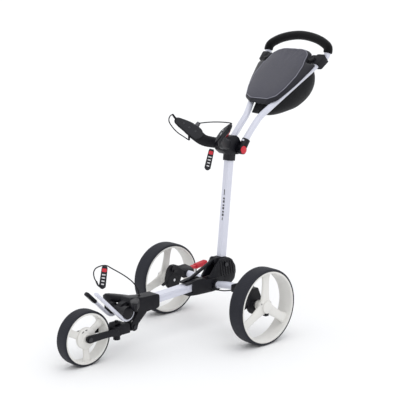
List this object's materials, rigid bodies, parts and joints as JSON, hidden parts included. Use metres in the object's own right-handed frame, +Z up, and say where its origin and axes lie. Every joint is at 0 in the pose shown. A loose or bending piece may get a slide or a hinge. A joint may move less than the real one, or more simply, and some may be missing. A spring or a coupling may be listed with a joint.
{
  "type": "golf push trolley",
  "caption": "Three-wheeled golf push trolley with a folding upright and handle, two bag cradles, inward-folding rear wheels, a swing-under front fork and a lidded console with a net.",
  "frame": {"origin": "centre of the footprint box at ground level, with the trolley open and standing on its three wheels", "axes": "+X forwards, from the handle towards the front wheel; +Y to the left of a person pushing it; +Z up"},
  "size_m": [1.248, 0.6076, 1.1377],
  "materials": {
    "white_paint": "gloss white powder coat over aluminium tube",
    "white_plastic": "satin moulded plastic",
    "black_plastic": "fine moulded grain",
    "red_plastic": "satin moulded plastic",
    "steel": "zinc plated",
    "tyre": "matt airless tyre with a fine tread",
    "foam": "closed-cell foam",
    "console_skin": "moulded fabric over a stiff shell",
    "net": "knitted mesh",
    "cord": "braided sleeve",
    "webbing": "woven strap with a rubber face"
  },
  "bodies": {
    "chassis": {"main_beam": "white_paint", "cross_tube": "white_paint", "central_housing": "black_plastic", "hinge_bracket": "black_plastic", "upright_pivot_pin": "steel", "front_housing": "black_plastic", "fork_pivot_pin": "steel", "bag_bar_left": "white_paint", "bag_bar_right": "white_paint", "bag_bar_cap": "black_plastic", "arm_bracket_left": "black_plastic", "arm_bracket_right": "black_plastic", "brake_cable": "cord", "lower_bungee": "cord", "lower_pull_tag": "webbing"},
    "pedal": {"brake_pedal": "red_plastic"},
    "wheel_arm_left": {"hub_carrier_left": "black_plastic", "rear_axle_left": "steel"},
    "wheel_arm_right": {"hub_carrier_right": "black_plastic", "rear_axle_right": "steel"},
    "rear_wheel_left": {"rear_rim_left": "white_plastic", "rear_tyre_left": "tyre", "hub_bearing_left": "steel", "hub_cap_left": "white_plastic"},
    "rear_wheel_right": {"rear_rim_right": "white_plastic", "rear_tyre_right": "tyre", "hub_bearing_right": "steel", "hub_cap_right": "white_plastic"},
    "wheel_catch_left": {"wheel_release_left": "black_plastic"},
    "wheel_catch_right": {"wheel_release_right": "black_plastic"},
    "fork_carrier": {"fork_block": "black_plastic"},
    "adjuster": {"tracking_knob": "black_plastic"},
    "fork": {"front_fork": "black_plastic", "front_axle": "steel"},
    "front_wheel": {"front_rim": "white_plastic", "front_tyre": "tyre"},
    "upright": {"upright_tube": "white_paint", "upright_foot": "black_plastic", "upper_housing": "black_plastic", "bag_wing_left": "black_plastic", "bag_wing_right": "black_plastic", "upper_bungee": "cord", "upper_loop": "cord", "upper_pull_tag": "webbing", "handle_pivot_bolt": "steel"},
    "stay": {"brace": "black_plastic"},
    "lever": {"release_lever": "red_plastic"},
    "handle": {"handle_yoke_left": "black_plastic", "handle_yoke_right": "black_plastic", "handle_tube": "white_paint", "foam_grip": "foam", "console_tray": "black_plastic", "console_net": "net", "tube_clamp_left": "black_plastic", "tube_clamp_right": "black_plastic"},
    "cap_left": {"pivot_cap_left": "red_plastic"},
    "cap_right": {"pivot_cap_right": "red_plastic"},
    "lid": {"console_lid": "console_skin"},
    "clamp_knob_left": {"console_knob_left": "black_plastic"},
    "clamp_knob_right": {"console_knob_right": "black_plastic"}
  },
  "joints": [
    {"name": "upright_fold", "type": "hinge", "parent": "chassis", "child": "upright", "pos_m": [-0.15053, 0, 0.25], "axis": [0, 1, 0], "range_deg": [0, 80], "deforming": ["lower_bungee", "lower_pull_tag"]},
    {"name": "brace_swing", "type": "hinge", "parent": "upright", "child": "stay", "pos_m": [-0.11161, 0, 0.27213], "axis": [0, 1, 0], "range_deg": [-104, 0]},
    {"name": "handle_fold", "type": "hinge", "parent": "upright", "child": "handle", "pos_m": [-0.22453, 0, 0.69504], "axis": [0, 1, 0], "range_deg": [-125, 15], "deforming": ["console_net"]},
    {"name": "release_lever_turn", "type": "hinge", "parent": "upright", "child": "lever", "pos_m": [-0.15188, 0, 0.72841], "axis": [0, 1, 0], "range_deg": [0, 35], "stiffness_Nm_per_rad": 0.3, "springref_deg": -11.46},
    {"name": "pivot_cap_left_press", "type": "slide", "parent": "handle", "child": "cap_left", "axis": [0, -1, 0], "range_m": [0, 0.002], "stiffness_N_per_m": 600, "springref_m": -0.002},
    {"name": "pivot_cap_right_press", "type": "slide", "parent": "handle", "child": "cap_right", "axis": [0, 1, 0], "range_m": [0, 0.002], "stiffness_N_per_m": 600, "springref_m": -0.002},
    {"name": "console_lid_open", "type": "hinge", "parent": "handle", "child": "lid", "pos_m": [-0.35947, 0, 0.86412], "axis": [0, 1, 0], "range_deg": [0, 80]},
    {"name": "console_knob_left_turn", "type": "hinge", "parent": "handle", "child": "clamp_knob_left", "pos_m": [-0.53116, 0.121, 1.03054], "axis": [0.6747, 0, 0.7381], "range_deg": [0, 270]},
    {"name": "console_knob_right_turn", "type": "hinge", "parent": "handle", "child": "clamp_knob_right", "pos_m": [-0.53116, -0.121, 1.03054], "axis": [0.6747, 0, 0.7381], "range_deg": [0, 270]},
    {"name": "rear_wheel_fold_left", "type": "hinge", "parent": "chassis", "child": "wheel_arm_left", "pos_m": [-0.10253, 0.195, 0.192], "axis": [1, 0, 0], "range_deg": [-90, 0]},
    {"name": "rear_wheel_fold_right", "type": "hinge", "parent": "chassis", "child": "wheel_arm_right", "pos_m": [-0.10253, -0.195, 0.192], "axis": [1, 0, 0], "range_deg": [0, 90]},
    {"name": "rear_wheel_spin_left", "type": "hinge", "parent": "wheel_arm_left", "child": "rear_wheel_left", "pos_m": [-0.10253, 0.2705, 0.145], "axis": [0, 1, 0], "continuous": true},
    {"name": "rear_wheel_spin_right", "type": "hinge", "parent": "wheel_arm_right", "child": "rear_wheel_right", "pos_m": [-0.10253, -0.2705, 0.145], "axis": [0, 1, 0], "continuous": true},
    {"name": "wheel_release_left_press", "type": "slide", "parent": "rear_wheel_left", "child": "wheel_catch_left", "axis": [0, -1, 0], "range_m": [0, 0.003], "stiffness_N_per_m": 600, "springref_m": -0.002},
    {"name": "wheel_release_right_press", "type": "slide", "parent": "rear_wheel_right", "child": "wheel_catch_right", "axis": [0, 1, 0], "range_m": [0, 0.003], "stiffness_N_per_m": 600, "springref_m": -0.002},
    {"name": "front_fork_fold", "type": "hinge", "parent": "chassis", "child": "fork_carrier", "pos_m": [0.30947, 0, 0.096], "axis": [0, 1, 0], "range_deg": [0, 160]},
    {"name": "tracking_knob_turn", "type": "hinge", "parent": "fork_carrier", "child": "adjuster", "pos_m": [0.37547, 0, 0.096], "axis": [0, 0, 1], "range_deg": [-180, 180]},
    {"name": "front_tracking", "type": "hinge", "parent": "fork_carrier", "child": "fork", "pos_m": [0.37547, 0, 0.096], "axis": [0, 0, 1], "range_deg": [-2.5, 2.5]},
    {"name": "front_wheel_spin", "type": "hinge", "parent": "fork", "child": "front_wheel", "pos_m": [0.52347, 0, 0.1005], "axis": [0, 1, 0], "continuous": true},
    {"name": "brake_pedal_press", "type": "hinge", "parent": "chassis", "child": "pedal", "pos_m": [-0.13653, -0.1645, 0.195], "axis": [0, 1, 0], "range_deg": [-14, 0], "stiffness_Nm_per_rad": 0.5, "springref_deg": 5.73}
  ],
  "couplings": [
    {"joint": "brace_swing", "follows": "upright_fold", "ratio": -1.291},
    {"joint": "tracking_knob_turn", "follows": "front_tracking", "ratio": 71.9}
  ]
}
